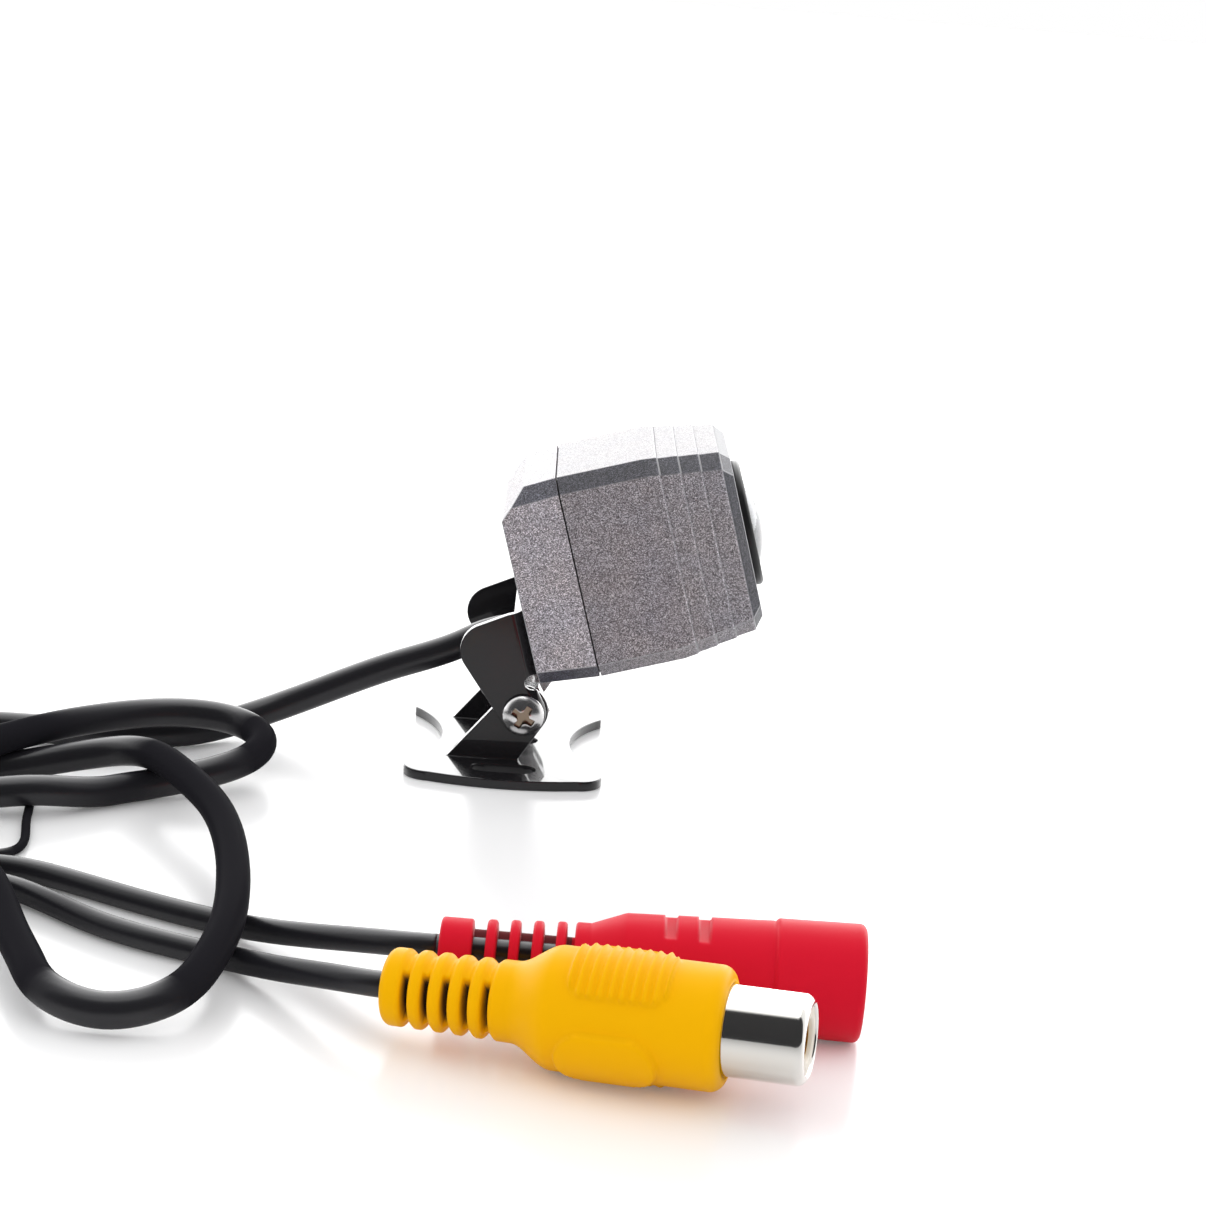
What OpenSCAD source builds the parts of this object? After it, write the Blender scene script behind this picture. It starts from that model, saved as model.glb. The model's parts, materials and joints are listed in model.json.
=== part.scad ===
// Backup camera on a tilting two-piece bracket, with its cable, video lead and power lead.
// Millimetres. +X is the way the lens looks, +Z is up, and the origin is the centre of the
// underside of the base plate. The camera tilts about the two pivot screws.

/* [Housing] */
// Width across the flats of the square housing
body_w = 25; // [20:0.5:32]
// Leg of the 45 degree chamfer along the housing's four long edges
body_chamfer = 1.8; // [1:0.1:3]
// Length of the rear cover
rear_l = 7.4; // [6.5:0.1:10]
// Length of the straight part of the front housing
straight_l = 10.3; // [8:0.1:16]
// Length of the tapered nose, without its front bevel
taper_l = 9.2; // [8:0.1:12]
// How far each side of the nose has come in where the front bevel starts
taper_in = 1.45; // [1:0.05:2]
// Front bevel, its leg
front_bevel = 1.15; // [0.8:0.05:1.6]
// Steps along the nose
step_n = 4; // [2:1:5]
// Height of one step
step_h = 0.12; // [0.1:0.01:0.28]
// Wall thickness of both castings
wall = 1.8; // [1.4:0.1:2.4]
// Draft of the rear cover's sides over its length
rear_draft = 0.55; // [0.2:0.05:0.9]
// Leg of the bevel along the rear cover's top edge
rear_bevel = 3.1; // [1.5:0.1:4]
// Gap between the castings, filled by the gasket
seam = 0.2; // [0.15:0.05:0.6]
// How far the gasket lies below the castings' outside
seam_inset = 0.45; // [0.2:0.05:0.8]

/* [Lens] */
// Width of the bezel ring's step around its spigot
bezel_step = 1; // [0.5:0.1:2]
// Height of the bezel ring over the housing's front
bezel_h = 1; // [0.8:0.1:2]
// Diameter of the glass dome
glass_d = 10.6; // [9:0.1:11]
// Height of the glass dome over the bezel ring
glass_rise = 1.2; // [0.8:0.1:2]
// Diameter of the lens barrel's head
barrel_d = 9.8; // [8.5:0.1:10]
// Diameter of the lens barrel's threaded shank
shank_d = 8.4; // [7:0.1:8.6]

/* [Boards] */
// Thickness of the sensor board
sensor_board_t = 1; // [0.8:0.1:1.6]
// Thickness of the power board
power_board_t = 0.8; // [0.6:0.1:1.2]
// Distance between the two boards
board_gap = 3.2; // [3:0.1:4]
// Width of the square lens holder
holder_w = 12; // [11.5:0.1:13]

/* [Brackets] */
// Thickness of both brackets' sheet
sheet_t = 1.2; // [1:0.1:1.5]
// Width over the camera bracket's ears
bracket_w = 20.7; // [18.5:0.1:24]
// Height of the camera bracket's web between its bends
web_h = 8.3; // [8:0.1:9]
// Length of the base plate along X
plate_l = 24; // [22:0.5:32]
// Width of the base plate along Y
plate_w = 34.4; // [33:0.2:42]
// Depth of the round notch in each end of the base plate
notch_depth = 4; // [2:0.1:5]
// Chord of the notch
notch_chord = 22.6; // [18:0.2:24]
// Overall length of a mounting slot
slot_l = 7.8; // [6:0.1:10]
// Width of a mounting slot
slot_w = 3.3; // [3:0.1:3.6]
// Distance of the outer slots from the plate's ends
slot_edge = 4.8; // [4:0.1:5.5]

/* [Pivot] */
// Pivot's place in front of the plate's centre
pivot_x = 2; // [1:0.1:3]
// Pivot's height over the mounting face
pivot_z = 7.5; // [7:0.1:9]
// Nose-up tilt as drawn, in degrees
head_pitch = 16.6; // [0:0.1:30]
// Housing's underside above the pivot
belly_gap = 2.8; // [2.8:0.1:5]
// Rear of the housing in front of the pivot
body_back = 2.8; // [2.5:0.1:4]

/* [Fasteners] */
// Thread diameter of the pivot screws
pivot_d = 3; // [2.5:0.1:3]
// Head diameter of the pivot screws
pivot_head_d = 5; // [4.6:0.1:5.6]
// Head height of the pivot screws
pivot_head_h = 1.7; // [1.4:0.1:2]
// Thickness of the washers between the two brackets' ears
washer_t = 0.2; // [0.1:0.05:0.4]
// Thread diameter of the housing screws
cover_d = 2; // [1.6:0.1:2]
// Head diameter of the housing screws
cover_head_d = 3.6; // [3.2:0.1:3.8]
// Head height of the housing screws
cover_head_h = 1.4; // [1.2:0.1:1.6]
// Thread diameter of the board screws
board_d = 1.6; // [1.2:0.1:1.6]

/* [Cable] */
// Diameter of the main cable
cable_d = 3.5; // [3.5:0.1:4]
// Diameter of the video and power leads
lead_d = 2.5; // [2.2:0.1:2.6]
// Diameter of the single wire
wire_d = 1; // [0.8:0.1:1.2]
// Width of the gland's flange around its neck
gland_flange = 0.4; // [0.2:0.05:0.5]
// Cable exit above the lower edge of the camera bracket's web
cable_up = 4.2; // [3.9:0.1:4.6]

/* [Video connector] */
// Outer diameter of the shell, which a standard phono plug grips
rca_shell_d = 8.3; // [8.2:0.05:8.4]
// Length of shell that stands out of the moulding
rca_shell_l = 7.4; // [7:0.1:9]
// Diameter of the moulded body
rca_body_d = 11.4; // [10.6:0.1:12]
// Length of the moulded body
rca_body_l = 19; // [18:0.1:22]
// Hole for the plug's centre pin
rca_hole_d = 3.2; // [3.1:0.05:3.3]

/* [Power connector] */
// Bore for the barrel plug
dc_bore_d = 5.6; // [5.5:0.05:5.7]
// Depth of that bore
dc_bore_l = 9.5; // [8.5:0.1:10]
// Diameter of the centre pin
dc_pin_d = 2; // [1.9:0.05:2.1]
// Diameter of the moulding's front collar
dc_front_d = 11.3; // [10.8:0.1:12]

/* [Fit] */
// Radial clearance of a shaft that turns in a hole
run_clear = 0.05; // [0.03:0.01:0.1]
// Radial clearance of a piece that is put in place and stays
fit_clear = 0.1; // [0.05:0.01:0.15]
// Gap beside the washers and under the screw heads at the pivot
side_play = 0.05; // [0.03:0.01:0.08]

/* [Hidden] */
$fn = 64;
eps = 0.01;

// housing, along its own axis from the rear face
half = body_w / 2;
body_up = half + belly_gap;
seam_x0 = rear_l - seam / 2;
seam_x1 = rear_l + seam / 2;
taper_x = rear_l + straight_l;
bevel_x = taper_x + taper_l;
front_x = bevel_x + front_bevel;
step_pitch = taper_l / (step_n - 0.24);
rear_floor = 2.2;
front_wall = 2.6;
inner = half - wall;
pocket_x = front_x - front_wall;

// lens stack, counted back from the housing's front
glass_back_x = front_x - 0.6;
flange_t = 1;
flange_x = glass_back_x + flange_t;
flange_d = glass_d + 1.4;
lip_x = front_x + bezel_h;
seal_t = 0.6;
seal_x = glass_back_x - seal_t;
spigot_d = flange_d + 1.6;
bezel_d = spigot_d + 2 * bezel_step;
barrel_x1 = seal_x - 0.1;
barrel_head_l = 6;
barrel_x0 = barrel_x1 - barrel_head_l;

// boards, counted back from the lens barrel
holder_front = barrel_x0;
holder_h = 8.6;
board_x1 = holder_front - holder_h;
board_x0 = board_x1 - sensor_board_t;
power_x1 = board_x0 - board_gap;
power_x0 = power_x1 - power_board_t;
board_half = inner - 0.3;
post_y = inner - 2.1;
post_d = 3.4;
spacer_d = 3;
shank_l = 5;
bore_d = shank_d - 1.6;
pocket_w = holder_w - 3;
pocket_h = 2.4;
filter_t = 0.5;
sensor_t = 0.9;

// housing screws: two short ones above, two long ones below that also hold the bracket
boss_d = 4.6;
low_z = -(half - 3.3);
low_y = bracket_w / 2 - 3.15;
high_z = half - rear_draft - rear_bevel - cover_head_d / 2 - 0.5;
high_y = half - 3.9;
screw_spots = [[-low_y, low_z], [low_y, low_z], [-high_y, high_z], [high_y, high_z]];
thread_end = seam_x1 + 6;
recess = cover_head_h + 0.1;

// cable exit
cable_z = low_z - cover_head_d / 2 - 0.1 + cable_up;
gland_neck_d = cable_d + 1.1;
gland_d = gland_neck_d + 2 * gland_flange;
gland_out = sheet_t + 0.4;
gland_in = 1.2;
tail_end = 4.4;

// camera bracket, in the pivot's frame
web_x1 = body_back;
web_x0 = web_x1 - sheet_t;
web_low = body_up + low_z - cover_head_d / 2 - 0.1;
web_top = web_low + web_h;
ear_in = bracket_w / 2 - sheet_t;
lobe_r = 2.75;
bend_r = 1.6;

// pivot
base_ear_out = ear_in - side_play - washer_t;
base_ear_in = base_ear_out - sheet_t;
washer_d = 5;
nut_af = pivot_d * 5.5 / 3;
nut_t = 2.4;
base_lobe_r = 3;
ear_rear_x = -7;
ear_front_x = 0.9;

// base plate
corner_r = 3;
slot_pitch = plate_w / 2 - slot_edge;
edge_rise = 1.3;
notch_r = (pow(notch_chord / 2, 2) + pow(notch_depth, 2)) / (2 * notch_depth);

// Places of the two connectors on the surface: rear end, turn to the right, nose-up tilt
rca_at = [-8.2, -94.2, 5.2];
rca_yaw = 15;
rca_tilt = 2.5;
dc_at = [-4, -85, 5.75];
dc_yaw = 2.5;

// Connector mouldings
boot_l = 13.2;
boot_r = 3.6;
rib_n = 6;
rib_pitch = 2;
rca_grip_r = 0.3;
insulator_d = rca_shell_d - 1;
contact_d = rca_hole_d + 0.6;
dc_boot_l = 17.4;
dc_body_l = 14.4;
dc_front_l = 8.6;
dc_sleeve_t = 0.35;
dc_sleeve_d = dc_bore_d + 2 * dc_sleeve_t;
dc_base_t = 2;
dc_pin_l = dc_bore_l - 1;

// Routes along the centre of each cord, after its exit. The surface lies at z = 0.
main_route = [
    [-6.5, -0.5, 13.1], [-14, -0.5, 10], [-22, -0.8, 6.5], [-28.2, -1.6, 3.8], [-33.3, -4.3, 2.3],
    [-38, -8.2, 1.8], [-44, -10.9, 1.8], [-51, -11.8, 1.8], [-58, -11.8, 1.8], [-65, -12.4, 1.8],
    [-71.5, -15.3, 1.8], [-74.2, -21.6, 1.8], [-71.6, -28, 1.8], [-65.3, -30.8, 1.8],
    [-58.9, -28.9, 1.8], [-53.2, -26.2, 2.3], [-47.8, -25.6, 3.4], [-42.9, -27.2, 4.7],
    [-39.2, -31, 5.5], [-35.4, -37, 5.6], [-31, -45.6, 5.4], [-27.6, -57, 5.1], [-25.6, -69.8, 4.8],
    [-25, -80.5, 4.5], [-25.7, -88.4, 3.9], [-28.1, -94.7, 2.9], [-33.8, -97.3, 2.1],
    [-39.4, -95, 2.7], [-42.5, -89.2, 3], [-45.5, -81.8, 3.2], [-48.8, -73.4, 3.9],
    [-53.2, -65.2, 4.8], [-58, -57.5, 5.4], [-62, -50, 5.5], [-63.5, -42.5, 5.5],
    [-61.5, -35.5, 5.5], [-57.2, -28.6, 5.5], [-51.8, -21.6, 5.5], [-45.6, -16.1, 5.5],
    [-39.4, -12.9, 5.4], [-33.2, -12.8, 5], [-28.9, -17.1, 4.4], [-29.6, -23.4, 3.6],
    [-34.2, -27.3, 2.6], [-40.1, -30.2, 1.8], [-45.6, -34.6, 1.9], [-52, -38.3, 2.8],
    [-59.5, -40, 2.2], [-68, -40, 1.8], [-76, -41.2, 1.8], [-82.6, -45.4, 1.8], [-85.8, -52, 1.9],
    [-83.6, -58.4, 2.6],
];
splice_at = [-78, -61, 3];
splice_l = 15;
splice_d = 6;
splice_yaw = 3;
power_route = [
    [-56, -58.8, 1.3], [-50, -59.4, 1.3], [-43.5, -62, 1.3], [-36.5, -66, 1.3], [-29.5, -69.6, 1.3],
    [-23.3, -72.7, 1.6], [-17, -77, 2.9], [-10.5, -82.2, 4.8],
];
video_route = [
    [-57, -63.5, 1.3], [-51, -64.5, 1.3], [-45, -68, 1.3], [-38.5, -73.5, 1.3],
    [-31.5, -77.5, 1.3], [-25, -80.5, 1.4], [-19, -85.5, 2.6], [-14, -90.5, 4.2],
];
wire_route = [
    [-61.3, -58, 3.5], [-59.3, -55.8, 2.2], [-56.5, -54.4, 1.1], [-53.5, -53.8, 0.6],
    [-51.2, -52.3, 0.55], [-50.6, -49.5, 0.55], [-51, -46, 0.55], [-51.7, -42, 0.55],
    [-52.2, -38, 0.55], [-52.8, -34, 0.55],
];

// ---------- frames ----------

// the camera's frame: X along the lens axis, Z up, from the pivot
module in_head() {
    translate([pivot_x, 0, pivot_z]) rotate([0, -head_pitch, 0]) children();
}

// the housing's frame: X from its rear face along the lens axis
module in_body() {
    in_head() translate([body_back, 0, body_up]) children();
}

module at_rca() {
    translate(rca_at) rotate([0, -rca_tilt, -rca_yaw]) children();
}

module at_dc() {
    translate(dc_at) rotate([0, 0, -dc_yaw]) children();
}

module at_splice() {
    translate(splice_at) rotate([0, 0, splice_yaw]) children();
}

// a point given in the housing's frame, in the part's frame
function from_body(p) = let (
    x = body_back + p[0],
    z = body_up + p[2]
) [
    pivot_x + x * cos(head_pitch) - z * sin(head_pitch),
    p[1],
    pivot_z + x * sin(head_pitch) + z * cos(head_pitch)
];

// a point in a connector's or the splice's frame, in the part's frame
function placed(at, yaw, tilt, p) = let (
    x = p[0] * cos(tilt) - p[2] * sin(tilt),
    z = p[0] * sin(tilt) + p[2] * cos(tilt)
) [
    at[0] + x * cos(yaw) - p[1] * sin(yaw),
    at[1] + x * sin(yaw) + p[1] * cos(yaw),
    at[2] + z
];

// ---------- shared shapes ----------

// cylinder along +X from x0 to x1
module rod(x0, x1, d, y = 0, z = 0) {
    translate([x0, y, z]) rotate([0, 90, 0]) cylinder(h = x1 - x0, d = d);
}

// solid turned about X from points [x, radius]
module turned(points) {
    rotate([0, 90, 0]) rotate([0, 0, 90]) rotate_extrude()
        polygon([for (p = points) [p[1], p[0]]]);
}

module block(x0, x1, w, h, y = 0, z = 0) {
    translate([x0, y - w / 2, z - h / 2]) cube([x1 - x0, w, h]);
}

// square with cut corners whose half width follows [x, half width] points along X
module chamfered_loft(points, chamfer) {
    first = points[0][0];
    last = points[len(points) - 1][0];
    far = 2 * body_w;
    intersection_for (a = [0, 90, 45, 135]) {
        scaled = [for (p = points) [p[0], a % 90 == 0 ? p[1] : (2 * p[1] - chamfer) / sqrt(2)]];
        count = len(scaled);
        outline = concat(scaled, [for (i = [count - 1:-1:0]) [scaled[i][0], -scaled[i][1]]]);
        rotate([a, 0, 0]) translate([0, 0, -far / 2]) linear_extrude(far) polygon(outline);
    }
}

// pan head from x = 0 back to x = -h, with a cross recess
module pan_head(d, h) {
    r = d / 2;
    edge = 0.3 * h;
    dome_r = (r * r + pow(h - edge, 2)) / (2 * (h - edge));
    cross_w = 0.16 * d;
    difference() {
        intersection() {
            rod(-h, 0, d);
            translate([dome_r - h, 0, 0]) sphere(r = dome_r);
        }
        for (a = [0, 90]) rotate([a, 0, 0])
            translate([-h - 1, -cross_w / 2, -0.29 * d]) cube([1 + 0.55 * h, cross_w, 0.58 * d]);
        rod(-h - 1, -0.45 * h, 0.3 * d);
    }
}

// screw whose head sits on x = 0 and whose shank ends at x = l
module screw(d, head_d, head_h, l) {
    pan_head(head_d, head_h);
    turned([[-eps, 0], [-eps, d / 2], [l - d / 4, d / 2], [l, d / 4], [l, 0]]);
}

// stadium-shaped grip pad standing radially on a round moulding
module grip_pad(l, w, body_r, rise) {
    intersection() {
        translate([l / 2, 0, 0]) linear_extrude(2 * body_r) {
            translate([-(l - w) / 2, 0]) circle(d = w);
            translate([(l - w) / 2, 0]) circle(d = w);
            square([l - w, w], center = true);
        }
        rod(-eps, l + eps, 2 * (body_r + rise));
    }
}

// ---------- cords ----------

function unit(v) = v / norm(v);
function heading(path, i) = unit(path[min(i + 1, len(path) - 1)] - path[max(i - 1, 0)]);
function side_of(t) = unit(cross(t, abs(t[2]) > 0.9 ? [0, 1, 0] : [0, 0, 1]));

// one tube along a route; the end rings stand square to the first and last heading given
module cord(path, d, first, last, sides = 8) {
    count = len(path);
    rings = [for (i = [0:count - 1]) let (
        t = i == 0 ? first : i == count - 1 ? last : heading(path, i),
        s = side_of(t),
        u = cross(s, t)
    ) for (k = [0:sides - 1]) path[i] + d / 2 * (s * cos(360 * k / sides) + u * sin(360 * k / sides))];
    walls = [for (i = [0:count - 2], k = [0:sides - 1], half = [0, 1]) let (
        a = i * sides + k,
        b = i * sides + (k + 1) % sides
    ) half == 0 ? [a, b, a + sides] : [b, b + sides, a + sides]];
    caps = [
        [for (k = [sides - 1:-1:0]) k],
        [for (k = [0:sides - 1]) (count - 1) * sides + k],
    ];
    polyhedron(rings, concat(walls, caps), convexity = 10);
}

gland_face = from_body([-gland_out, 0, cable_z]);
gland_next = from_body([-gland_out - 4, 0, cable_z]);
splice_in = splice_at;
power_out = placed(splice_at, splice_yaw, 0, [splice_l, 1.5, -0.8]);
video_out = placed(splice_at, splice_yaw, 0, [splice_l, -1.5, -0.8]);
wire_out = placed(splice_at, splice_yaw, 0, [splice_l, 1, 1.4]);
splice_way = placed([0, 0, 0], splice_yaw, 0, [1, 0, 0]);
rca_way = placed([0, 0, 0], -rca_yaw, rca_tilt, [1, 0, 0]);
dc_way = placed([0, 0, 0], -dc_yaw, 0, [1, 0, 0]);

module main_cable() {
    color("#1c1c1e")
        cord(concat([gland_face, gland_next], main_route, [splice_in]), cable_d,
            unit(gland_next - gland_face), splice_way);
}

module power_lead() {
    color("#1c1c1e") cord(concat([power_out], power_route, [dc_at]), lead_d, splice_way, dc_way);
}

module video_lead() {
    color("#1c1c1e") cord(concat([video_out], video_route, [rca_at]), lead_d, splice_way, rca_way);
}

module trigger_wire() {
    color("#1c1c1e")
        cord(concat([wire_out], wire_route), wire_d, splice_way, unit([-1, 6, 0]));
}

module y_splice() {
    color("#202022") at_splice()
        turned([
            [0, 0], [0, splice_d / 2 - 0.7], [2, splice_d / 2], [splice_l - 1.5, splice_d / 2],
            [splice_l, splice_d / 2 - 0.4], [splice_l, 0],
        ]);
}

// ---------- housing ----------

function nose_half(i, side) = let (
    slope = (taper_in - step_n * step_h) / taper_l,
    run = i == step_n ? taper_l : max(0, (i - 0.24) * step_pitch),
    steps = side == 0 ? i - 1 : i
) half - slope * run - max(0, steps) * step_h;

nose_profile = concat(
    [[seam_x1, half], [taper_x, half]],
    [for (i = [1:step_n], side = [0, 1])
        [taper_x + (i == step_n ? taper_l : (i - 0.24) * step_pitch), nose_half(i, side)]],
    [[front_x, half - taper_in - front_bevel]]
);

cavity_profile = [
    [seam_x1 - eps, inner], [taper_x, inner], [pocket_x, inner - taper_in],
];

module front_housing() {
    color("#7b797b") in_body() difference() {
        union() {
            difference() {
                chamfered_loft(nose_profile, body_chamfer);
                chamfered_loft(cavity_profile, body_chamfer);
            }
            intersection() {
                chamfered_loft([[seam_x1, half - 0.5], [front_x - 0.5, half - 1 - taper_in]], body_chamfer);
                union() {
                    for (s = screw_spots) rod(seam_x1, thread_end + 1.5, boss_d, s[0], s[1]);
                    for (s = [-1, 1]) rod(board_x1, pocket_x + eps, post_d, s * post_y, 0);
                }
            }
        }
        for (s = screw_spots) rod(seam_x1 - eps, thread_end, cover_d, s[0], s[1]);
        for (s = [-1, 1]) rod(board_x1 - eps, board_x1 + 4.5, board_d, s * post_y, 0);
        rod(pocket_x - 1, front_x, barrel_d + 0.4);
        rod(seal_x, front_x + 1, spigot_d + 2 * fit_clear);
    }
}

module rear_cover() {
    outer = [[0, half - rear_draft], [seam_x0, half]];
    hollow = [[rear_floor, inner - rear_draft], [seam_x0 + eps, inner]];
    color("#8b898b") in_body() difference() {
        chamfered_loft(outer, body_chamfer);
        difference() {
            chamfered_loft(hollow, body_chamfer);
            for (s = screw_spots) rod(0, seam_x0, boss_d, s[0], s[1]);
            bevel_cut(wall * sqrt(2));
        }
        bevel_cut(0);
        for (s = screw_spots) rod(-1, rear_l, cover_d + 2 * fit_clear, s[0], s[1]);
        for (s = [-1, 1]) rod(-1, recess, cover_head_d + 2 * fit_clear, s * high_y, high_z);
        rod(-1, rear_floor + 1, gland_neck_d, 0, cable_z);
    }
}

// space behind and above the rear cover's top bevel, moved inwards by depth
module bevel_cut(depth) {
    reach = 2 * body_w;
    translate([0, 0, half - rear_draft - rear_bevel - depth]) rotate([0, 45, 0])
        translate([-reach, -reach / 2, 0]) cube([reach, reach, reach]);
}

module housing_gasket() {
    color("#1d1d1f") in_body() difference() {
        chamfered_loft([[seam_x0, half - seam_inset], [seam_x1, half - seam_inset]], body_chamfer);
        chamfered_loft([[seam_x0 - 1, inner + 0.3], [seam_x1 + 1, inner + 0.3]], body_chamfer);
        for (s = screw_spots) rod(seam_x0 - 1, seam_x1 + 1, cover_d + 2 * fit_clear, s[0], s[1]);
    }
}

module cover_screws() {
    color("#c9c9cc") in_body() for (s = [-1, 1]) translate([recess, s * high_y, high_z])
        screw(cover_d, cover_head_d, cover_head_h, thread_end - 1 - recess);
}

module bracket_screws() {
    color("#c9c9cc") in_body() for (s = [-1, 1]) translate([-sheet_t, s * low_y, low_z])
        screw(cover_d, cover_head_d, cover_head_h, thread_end - 1 + sheet_t);
}

// ---------- lens ----------

module lens_bezel() {
    inner_r = flange_d / 2 + fit_clear;
    color("#161618") in_body() turned([
        [seal_x, inner_r], [seal_x, spigot_d / 2], [front_x, spigot_d / 2],
        [front_x, bezel_d / 2], [lip_x - 0.35, bezel_d / 2], [lip_x, bezel_d / 2 - 0.35],
        [lip_x, glass_d / 2 + fit_clear], [flange_x, glass_d / 2 + fit_clear], [flange_x, inner_r],
    ]);
}

// points of an arc about the lens axis, from the rim [x, r] to an apex rise further along
function dome(x, r, rise, n = 14) = let (
    ball = (r * r + rise * rise) / (2 * abs(rise)),
    span = asin(r / ball),
    way = sign(rise)
) [for (i = [0:n]) let (a = span * (1 - i / n))
    [x + rise - way * ball * (1 - cos(a)), ball * sin(a)]];

function reversed(list) = [for (i = [len(list) - 1:-1:0]) list[i]];

module front_glass() {
    color("#a8c0cc", 0.6) in_body() turned(concat(
        [[glass_back_x, flange_d / 2], [flange_x, flange_d / 2], [flange_x, glass_d / 2]],
        dome(lip_x, glass_d / 2, glass_rise),
        reversed(dome(glass_back_x, glass_d / 2 - 1, glass_rise))
    ));
}

module glass_seal() {
    color("#1a1a1a") in_body() difference() {
        rod(seal_x, glass_back_x, flange_d);
        rod(seal_x - 1, glass_back_x + 1, barrel_d + 0.2);
    }
}

module lens_barrel() {
    mouth_x = barrel_x1 - 2.2;
    color("#2a2a2c") in_body() difference() {
        union() {
            rod(barrel_x0, barrel_x1, barrel_d);
            rod(barrel_x0 - shank_l, barrel_x0 + eps, shank_d);
        }
        rod(barrel_x0 - shank_l + 0.6, barrel_x1 + 1, bore_d - 1.2);
        rod(barrel_x0 - shank_l - 1, barrel_x0 - shank_l + 1, bore_d - 2);
        rod(barrel_x0 + 1, barrel_x1 + 1, bore_d);
        rod(mouth_x, barrel_x1 + 1, bore_d + 1);
    }
}

module lens_elements() {
    mouth_x = barrel_x1 - 2.2;
    small_d = bore_d - 1.2 - fit_clear;
    large_d = bore_d - fit_clear;
    color("#9fb6c4", 0.6) in_body() {
        turned([
            [barrel_x0 - shank_l + 1, 0], [barrel_x0 - shank_l + 1, small_d / 2],
            [barrel_x0 - shank_l + 2.8, small_d / 2], [barrel_x0 - shank_l + 2.8, 0],
        ]);
        turned(concat(
            [[barrel_x0 + 1, 0], [barrel_x0 + 1, large_d / 2], [barrel_x0 + 1.8, large_d / 2]],
            dome(barrel_x0 + 1.8, large_d / 2 - eps, 1)
        ));
        turned(concat(
            [[mouth_x, 0], [mouth_x, (bore_d + 1 - fit_clear) / 2]],
            dome(mouth_x + 0.8, (bore_d + 1 - fit_clear) / 2, 1.2)
        ));
    }
}

module lens_holder() {
    color("#222224") in_body() difference() {
        union() {
            block(board_x1, board_x1 + pocket_h + 1, holder_w, holder_w);
            rod(board_x1 + pocket_h, holder_front, shank_d + 2.4);
        }
        block(board_x1 - 1, board_x1 + pocket_h, pocket_w, pocket_w);
        rod(board_x1 + pocket_h - 1, board_x1 + pocket_h + 1.1, bore_d - 1);
        rod(barrel_x0 - shank_l - 0.2, holder_front + 1, shank_d);
    }
}

module ir_filter() {
    filter_w = pocket_w - 0.2;
    color("#c06a72", 0.7) in_body()
        block(board_x1 + pocket_h - filter_t, board_x1 + pocket_h, filter_w, filter_w);
}

// ---------- boards ----------

module image_sensor() {
    color("#3a3f46") in_body() block(board_x1, board_x1 + sensor_t, 6.5, 5.6);
}

// square board with its corners cut clear of the screw bosses and two mounting holes
module board(x0, x1) {
    difference() {
        block(x0, x1, 2 * board_half, 2 * board_half);
        for (s = screw_spots) {
            rod(x0 - 1, x1 + 1, boss_d + 0.6, s[0], s[1]);
            translate([x0 - 1, s[0] > 0 ? s[0] : s[0] - half, s[1] > 0 ? s[1] : s[1] - half])
                cube([x1 - x0 + 2, half, half]);
        }
        for (s = [-1, 1]) rod(x0 - 1, x1 + 1, board_d + 2 * fit_clear, s * post_y, 0);
    }
}

module sensor_board() {
    color("#1f6b3a") in_body() board(board_x0, board_x1);
}

module power_board() {
    color("#1f6b3a") in_body() board(power_x0, power_x1);
}

module board_spacers() {
    color("#c8a24a") in_body() for (s = [-1, 1]) difference() {
        rod(power_x1, board_x0, spacer_d, s * post_y, 0);
        rod(power_x1 - 1, board_x0 + 1, board_d + 2 * fit_clear, s * post_y, 0);
    }
}

module board_screws() {
    reach = board_x1 + 4 - power_x0;
    color("#c9c9cc") in_body() for (s = [-1, 1]) translate([power_x0, s * post_y, 0])
        screw(board_d, 2.8, 0.9, reach);
}

module board_header() {
    color("#1a1a1a") in_body() block(power_x1, board_x0, 7.6, 2.5, 0, -4.6);
}

module board_chips() {
    color("#26262a") in_body() {
        block(power_x0 - 1, power_x0, 5, 5, 3.2, 3.4);
        block(power_x0 - 1.2, power_x0, 3, 2.6, -4, 3.6);
        block(power_x1, power_x1 + 1.2, 4, 4, -2.5, 2.5);
        block(board_x0 - 0.9, board_x0, 4.4, 3.4, 3, 2);
        rod(power_x1, power_x1 + 2.6, 3, 3.2, 0.4);
    }
}

module board_socket() {
    color("#e6e1d3") in_body() block(tail_end, power_x0, 7, 4, 0, cable_z);
}

// ---------- cable exit ----------

module cable_gland() {
    color("#1a1a1a") in_body() difference() {
        union() {
            rod(-gland_out, -eps, gland_d, 0, cable_z);
            rod(-gland_out, rear_floor + gland_in, gland_neck_d, 0, cable_z);
            rod(rear_floor, rear_floor + gland_in, gland_d, 0, cable_z);
        }
        rod(-gland_out - 1, rear_floor + gland_in + 1, cable_d, 0, cable_z);
    }
}

module cable_tail() {
    color("#1c1c1e") in_body() rod(-gland_out, tail_end, cable_d, 0, cable_z);
}

// ---------- camera bracket ----------

// plan of the bent sheet: two ears and the web between them, with rounded outer bends
module bracket_plan() {
    back = -12;
    difference() {
        union() {
            translate([back, -bracket_w / 2]) square([web_x1 - bend_r - back, bracket_w]);
            translate([web_x1 - bend_r - eps, -bracket_w / 2 + bend_r])
                square([bend_r + eps, bracket_w - 2 * bend_r]);
            for (s = [-1, 1]) translate([web_x1 - bend_r, s * (bracket_w / 2 - bend_r)])
                circle(r = bend_r);
        }
        translate([back - 1, -ear_in]) square([web_x0 - back + 1, 2 * ear_in]);
    }
}

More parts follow.
